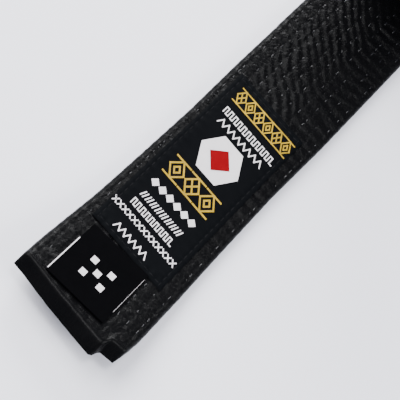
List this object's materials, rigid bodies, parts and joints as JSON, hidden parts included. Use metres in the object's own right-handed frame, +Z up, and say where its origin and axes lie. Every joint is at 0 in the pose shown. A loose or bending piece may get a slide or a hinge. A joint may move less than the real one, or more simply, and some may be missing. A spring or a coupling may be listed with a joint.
{
  "type": "martial arts belt",
  "caption": "Quilted black satin martial arts belt with a woven label and a folded size tag on its free end, the rest of its length wound into a roll.",
  "frame": {"origin": "on the floor under the middle of the roll, in the middle of the belt's width", "axes": "+X along the belt from the labelled tip to the roll, +Y across the belt, +Z up"},
  "size_m": [0.2772, 0.0416, 0.1257],
  "materials": {
    "black_satin": "satin weave polyester, quilted",
    "cotton_core": "plain woven cotton, undyed",
    "black_thread": "twisted polyester sewing thread",
    "woven_label": "damask woven label, gold, white and red motifs",
    "size_tag": "woven ribbon with white selvedges"
  },
  "bodies": {
    "roll": {"satin_cover_roll": "black_satin", "satin_cover_flat": "black_satin", "quilting_thread_flat": "black_thread", "core_ply_1_roll": "cotton_core", "core_ply_2_roll": "cotton_core", "core_ply_3_roll": "cotton_core", "core_ply_4_roll": "cotton_core", "folded_hem_inner_end": "black_satin", "closing_stitch_inner_end": "black_thread"},
    "second_bend": {"satin_cover_second_bend": "black_satin", "core_ply_1_second_bend": "cotton_core", "core_ply_2_second_bend": "cotton_core", "core_ply_3_second_bend": "cotton_core", "core_ply_4_second_bend": "cotton_core", "quilting_thread_second_bend": "black_thread"},
    "first_bend": {"satin_cover_first_bend": "black_satin", "core_ply_1_first_bend": "cotton_core", "core_ply_2_first_bend": "cotton_core", "core_ply_3_first_bend": "cotton_core", "core_ply_4_first_bend": "cotton_core", "quilting_thread_first_bend": "black_thread"},
    "labelled_end": {"satin_cover_labelled_end": "black_satin", "core_ply_1_labelled_end": "cotton_core", "core_ply_2_labelled_end": "cotton_core", "core_ply_3_labelled_end": "cotton_core", "core_ply_4_labelled_end": "cotton_core", "quilting_thread_labelled_end": "black_thread", "folded_hem_labelled_end": "black_satin", "closing_stitch_labelled_end": "black_thread", "woven_label": "woven_label", "label_stitching": "black_thread"},
    "size_tag": {"size_tag": "size_tag"}
  },
  "joints": [
    {"name": "second_bend_lift", "type": "hinge", "parent": "roll", "child": "second_bend", "pos_m": [-0.035, 0, 0.0044], "axis": [0, 1, 0], "range_deg": [0, 35]},
    {"name": "first_bend_lift", "type": "hinge", "parent": "second_bend", "child": "first_bend", "pos_m": [-0.07, 0, 0.0044], "axis": [0, 1, 0], "range_deg": [0, 35]},
    {"name": "labelled_end_lift", "type": "hinge", "parent": "first_bend", "child": "labelled_end", "pos_m": [-0.105, 0, 0.0044], "axis": [0, 1, 0], "range_deg": [0, 35]},
    {"name": "size_tag_flip", "type": "hinge", "parent": "labelled_end", "child": "size_tag", "pos_m": [-0.18737, 0.00265, 0.00758], "axis": [0, 1, 0], "range_deg": [0, 160]}
  ]
}
